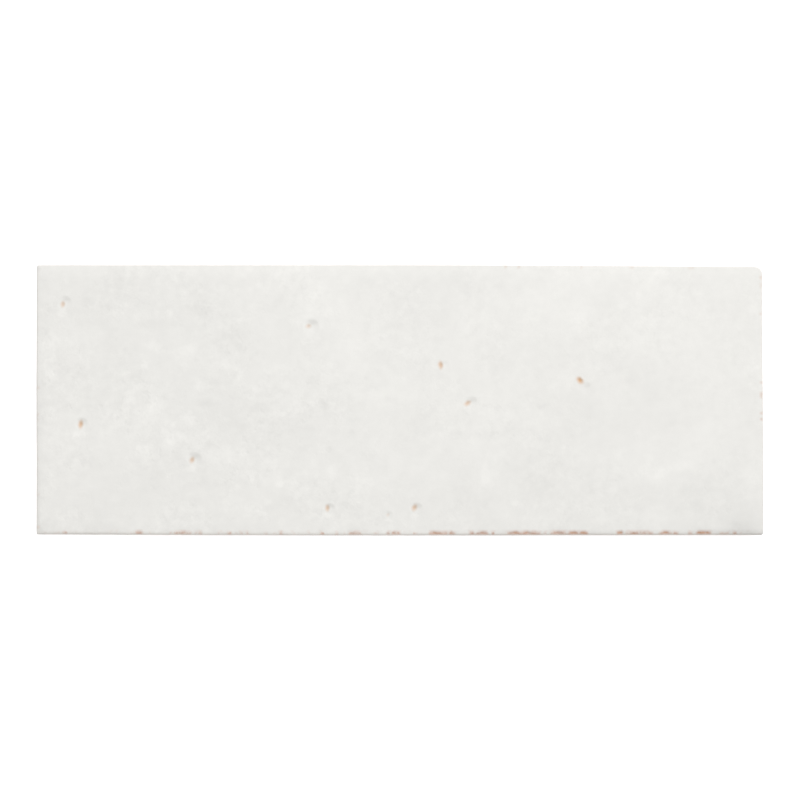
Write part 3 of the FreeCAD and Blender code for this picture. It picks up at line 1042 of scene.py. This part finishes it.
def glazed_ceramic(finish):
    """The tile's material: glaze, with the biscuit showing where the mesh says that it is bare."""
    material = bpy.data.materials.new("glazed_ceramic")
    wires = blank_tree(material)
    place = wires.node("ShaderNodeTexCoord", output="Object")
    ragged = wires.painted("bare") + 0.5 * (place.grain("border") - 0.5)
    shown = ragged.rise(0.25, 0.85)
    glaze, glaze_roughness, glaze_height = glaze_finish(wires, place, finish)
    biscuit, biscuit_roughness, biscuit_height = biscuit_finish(wires, place, finish)
    height = glaze_height * (1 - shown) + biscuit_height * shown
    bump = wires.node("ShaderNodeBump", {}, {"Strength": 1.0, "Distance": MM, "Height": height})
    surface = wires.node("ShaderNodeBsdfPrincipled", {}, {
        "Base Color": glaze.mixed(shown, biscuit),
        "Roughness": glaze_roughness * (1 - shown) + biscuit_roughness * shown,
        "Specular IOR Level": 0.25,
        "Coat Weight": 1 - shown,
        "Coat Roughness": 0.12,
        "Normal": bump,
    })
    wires.node("ShaderNodeOutputMaterial", {}, {"Surface": surface})
    return material


def settled(piece):
    """Makes the result of a piece's modifiers its own mesh."""
    graph = bpy.context.evaluated_depsgraph_get()
    mesh = bpy.data.meshes.new_from_object(
        piece.evaluated_get(graph), preserve_all_data_layers=True, depsgraph=graph,
    )
    piece.modifiers.clear()
    piece.data = mesh
    mesh.name = piece.name


class WALLTILE_OT_make_tile(bpy.types.Operator):
    """Makes the glazed tile in the place of its plain solid"""
    bl_idname = "wall_tile.make_tile"
    bl_label = "Make the tile"
    bl_options = {"REGISTER", "UNDO"}

    def execute(self, context):
        scene = context.scene
        piece = TileMesh(scene.tile_form, scene.tile_relief).object("glazed_tile")
        material = glazed_ceramic(scene.tile_finish)
        tree, values = relief_tree(scene.tile_relief, material)
        modifier = piece.modifiers.new("Relief", "NODES")
        modifier.node_group = tree
        for identifier, value in values.items():
            modifier[identifier] = value
        settled(piece)
        bpy.data.objects.remove(bpy.data.objects["pinholes"])
        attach(piece, "root")
        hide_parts(NODE)
        return {"FINISHED"}


def seen_light(wires):
    """1 for light on its way to the camera, straight or by a mirror or a lens, and else 0."""
    path = wires.node("ShaderNodeLightPath").output.node.outputs
    straight, mirrored, bent = (
        Wire(wires.tree, path[f"Is {kind} Ray"]) for kind in ("Camera", "Glossy", "Transmission")
    )
    return (straight + mirrored + bent).least(1)


def pale_floor():
    """A floor that the camera sees as white, and that still takes the tile's shadow."""
    material = bpy.data.materials.new("pale_floor")
    wires = blank_tree(material)
    paint = wires.node("ShaderNodeBsdfDiffuse", {}, {"Color": FLOOR_PAINT})
    glow = wires.node("ShaderNodeEmission", {}, {"Strength": seen_light(wires) * FLOOR_GLOW})
    both = wires.node("ShaderNodeAddShader", {}, {0: paint, 1: glow})
    wires.node("ShaderNodeOutputMaterial", {}, {"Surface": both})
    return material


class WALLTILE_OT_make_stage(bpy.types.Operator):
    """Makes the floor, the soft lamp, the even light all round and the camera over the tile"""
    bl_idname = "wall_tile.make_stage"
    bl_label = "Make the stage"
    bl_options = {"REGISTER", "UNDO"}

    def execute(self, context):
        stage = context.scene.tile_stage
        form = context.scene.tile_form
        self.make_floor()
        self.make_sky(context, stage)
        self.make_lamp(stage)
        rim = HIGH.z - form.headroom - form.arris_drop
        self.make_camera(context, stage, rim)
        context.scene.view_settings.view_transform = "Standard"
        return {"FINISHED"}

    def make_floor(self):
        mesh = bpy.data.meshes.new("floor")
        corners = [(x * FLOOR_HALF, y * FLOOR_HALF) for x, y in ((-1, -1), (1, -1), (1, 1), (-1, 1))]
        mesh.from_pydata([(x, y, LOW.z - FLOOR_GAP) for x, y in corners], [], [(0, 1, 2, 3)])
        mesh.materials.append(pale_floor())
        floor = linked("floor", mesh)
        floor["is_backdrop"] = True

    def make_sky(self, context, stage):
        world = bpy.data.worlds.new("sky")
        wires = blank_tree(world)
        strength = stage.sky + seen_light(wires) * (1 - stage.sky)
        light = wires.node("ShaderNodeBackground", {}, {"Strength": strength})
        wires.node("ShaderNodeOutputWorld", {}, {"Surface": light})
        context.scene.world = world

    def make_lamp(self, stage):
        data = bpy.data.lights.new("soft_lamp", "AREA")
        data.size = stage.lamp_size
        data.energy = stage.lamp_power
        lamp = linked("soft_lamp", data)
        flat = stage.lamp_reach * math.cos(stage.lamp_rise)
        height = stage.lamp_reach * math.sin(stage.lamp_rise)
        turn = stage.lamp_turn
        lamp.location = (flat * math.sin(turn), flat * math.cos(turn), height)
        lamp.rotation_euler = (-lamp.location).to_track_quat("-Z", "Y").to_euler()

    def make_camera(self, context, stage, rim):
        data = bpy.data.cameras.new("camera")
        data.lens = data.sensor_width * stage.camera_height / stage.view_width
        data.clip_start = stage.camera_height / CLIP_FACTOR
        data.clip_end = stage.camera_height * CLIP_FACTOR
        camera = linked("camera", data)
        camera.location = (stage.camera_x, stage.camera_y, rim + stage.camera_height)
        context.scene.camera = camera


class WALLTILE_PT_panel(bpy.types.Panel):
    """Lists the tile's operators and settings"""
    bl_label = "Wall tile"
    bl_space_type = "VIEW_3D"
    bl_region_type = "UI"
    bl_category = "Wall tile"

    def draw(self, context):
        layout = self.layout
        for operator in (WALLTILE_OT_make_tile, WALLTILE_OT_make_stage):
            layout.operator(operator.bl_idname)
        for name, group in SETTINGS.items():
            box = layout.box()
            for setting in group.__annotations__:
                box.prop(getattr(context.scene, name), setting)


SETTINGS = {
    "tile_form": TileForm, "tile_relief": TileRelief, "tile_finish": TileFinish, "tile_stage": TileStage,
}
CLASSES = (*SETTINGS.values(), WALLTILE_OT_make_tile, WALLTILE_OT_make_stage, WALLTILE_PT_panel)


def register():
    for each in CLASSES:
        bpy.utils.register_class(each)
    for name, group in SETTINGS.items():
        setattr(bpy.types.Scene, name, PointerProperty(type=group))


def unregister():
    for name in SETTINGS:
        delattr(bpy.types.Scene, name)
    for each in reversed(CLASSES):
        bpy.utils.unregister_class(each)


def main():
    register()
    bpy.ops.wall_tile.make_tile()
    bpy.ops.wall_tile.make_stage()
    sizes = {"cad": CAD_BOX, "visual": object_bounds()}
    {name: [list(corner) for corner in box] for name, box in sizes.items()}


if __name__ == "__main__":
    main()
